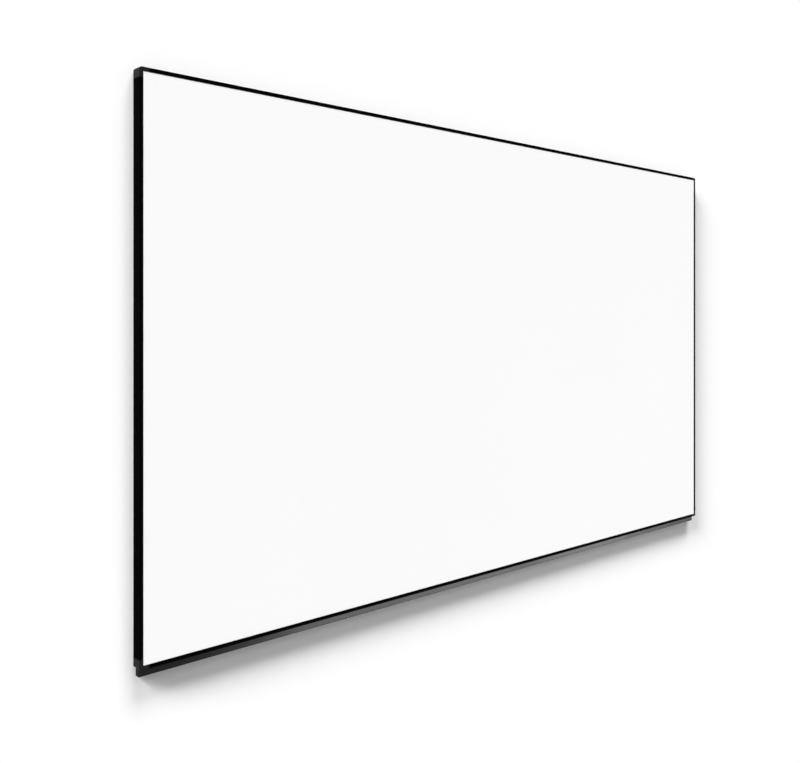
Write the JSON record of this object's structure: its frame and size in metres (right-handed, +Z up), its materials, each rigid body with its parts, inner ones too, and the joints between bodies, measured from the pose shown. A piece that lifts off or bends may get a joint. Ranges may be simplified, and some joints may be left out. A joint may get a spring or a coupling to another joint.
{
  "type": "fixed-frame projector screen",
  "caption": "Wall-hung 16:9 projector screen with a thin black bezel, a spring-tensioned white sheet on a hollow aluminium frame, a grey lower trim and hook-on wall brackets.",
  "frame": {"origin": "middle of the back face of the centre wall bracket, on the wall plane, where the screen hangs", "axes": "+X to the right as seen from the front, +Y into the wall, so the picture faces -Y, and +Z up"},
  "size_m": [2.232, 0.03, 1.2812],
  "materials": {
    "picture_sheet": "matt white projection film, fine even grain, black back",
    "bezel": "deep matt black powder coat",
    "corner_cap": "moulded dark grey plastic, fine grain",
    "trim_end": "moulded dark grey plastic, fine grain",
    "lower_trim": "satin graphite grey coat",
    "rail": "natural extruded aluminium, fine draw lines",
    "joining_plate": "zinc plated steel plate",
    "screw": "zinc plated pan head",
    "spring_steel": "bright spring wire on a pale rod",
    "support_bar": "matt black coated tube",
    "support_foot": "moulded black plastic",
    "wall_bracket": "black coated folded steel",
    "bumper": "soft black rubber"
  },
  "bodies": {
    "root": {"bottom_bezel_left": "bezel", "bottom_bezel_right": "bezel", "bottom_rail_left": "rail", "bottom_rail_right": "rail", "corner_cap_bottom_left": "corner_cap", "corner_cap_bottom_right": "corner_cap", "corner_cap_top_left": "corner_cap", "corner_cap_top_right": "corner_cap", "corner_plate_bottom_left": "joining_plate", "corner_plate_bottom_right": "joining_plate", "corner_plate_top_left": "joining_plate", "corner_plate_top_right": "joining_plate", "lower_trim_end_left": "trim_end", "lower_trim_end_right": "trim_end", "lower_trim_left": "lower_trim", "lower_trim_right": "lower_trim", "screen_membrane": "picture_sheet", "side_bezel_left": "bezel", "side_bezel_right": "bezel", "side_rail_left": "rail", "side_rail_right": "rail", "splice_plate_bottom": "joining_plate", "splice_plate_top": "joining_plate", "splice_screw_bottom_left_1": "screw", "splice_screw_bottom_left_2": "screw", "splice_screw_bottom_right_1": "screw", "splice_screw_bottom_right_2": "screw", "splice_screw_top_left_1": "screw", "splice_screw_top_left_2": "screw", "splice_screw_top_right_1": "screw", "splice_screw_top_right_2": "screw", "support_bar": "support_bar", "support_foot_bottom": "support_foot", "support_foot_top": "support_foot", "support_screw_bottom_left": "screw", "support_screw_bottom_right": "screw", "support_screw_top_left": "screw", "support_screw_top_right": "screw", "tension_row_bottom_left": "spring_steel", "tension_row_bottom_right": "spring_steel", "tension_row_left": "spring_steel", "tension_row_right": "spring_steel", "tension_row_top_left": "spring_steel", "tension_row_top_right": "spring_steel", "top_bezel_left": "bezel", "top_bezel_right": "bezel", "top_rail_left": "rail", "top_rail_right": "rail", "wall_bracket_bottom_left": "wall_bracket", "wall_bracket_bottom_right": "wall_bracket", "wall_bracket_top_centre": "wall_bracket", "wall_bracket_top_left": "wall_bracket", "wall_bracket_top_right": "wall_bracket", "wall_bumper_bottom_left": "bumper", "wall_bumper_bottom_right": "bumper", "wall_bumper_top_left": "bumper", "wall_bumper_top_right": "bumper"}
  },
  "joints": []
}
